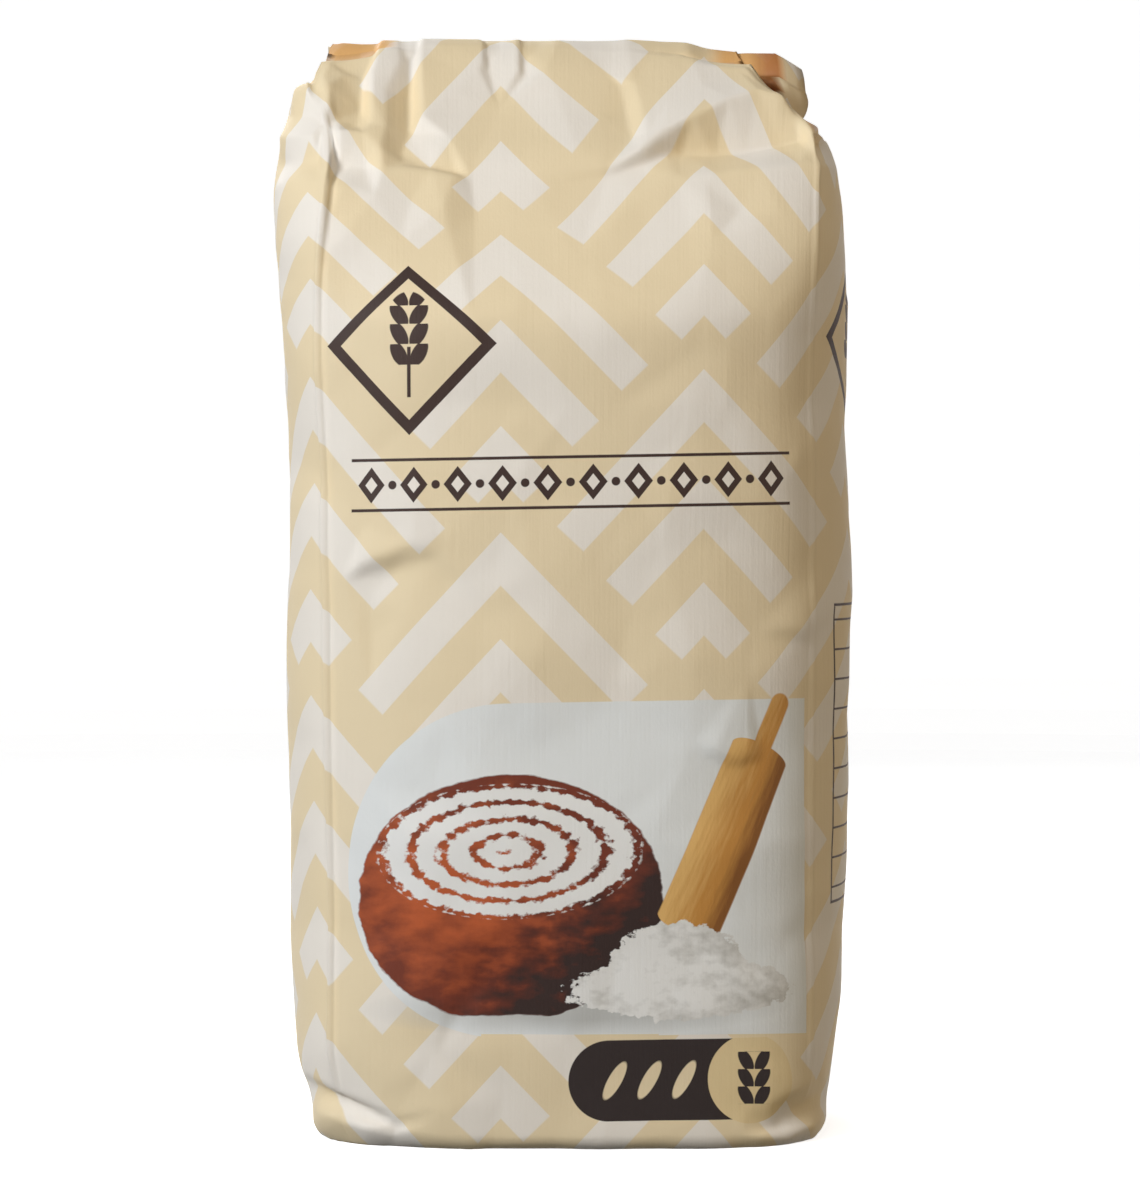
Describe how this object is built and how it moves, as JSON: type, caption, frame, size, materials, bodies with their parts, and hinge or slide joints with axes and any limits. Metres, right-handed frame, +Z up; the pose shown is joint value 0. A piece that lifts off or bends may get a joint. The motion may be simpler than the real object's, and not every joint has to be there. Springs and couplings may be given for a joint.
{
  "type": "bag of flour",
  "caption": "Filled beige paper bag of flour with white chevrons, standing on its block bottom, its gabled top folded over to the back.",
  "frame": {"origin": "middle of the base, on the surface that the bag stands on", "axes": "+Z up through the folded top, -Y out of the printed front, +X to the viewer's right of the front"},
  "size_m": [0.1112, 0.072, 0.21],
  "materials": {
    "paper": "matte, printed"
  },
  "bodies": {
    "root": {"flour_bag": "paper"}
  },
  "joints": []
}
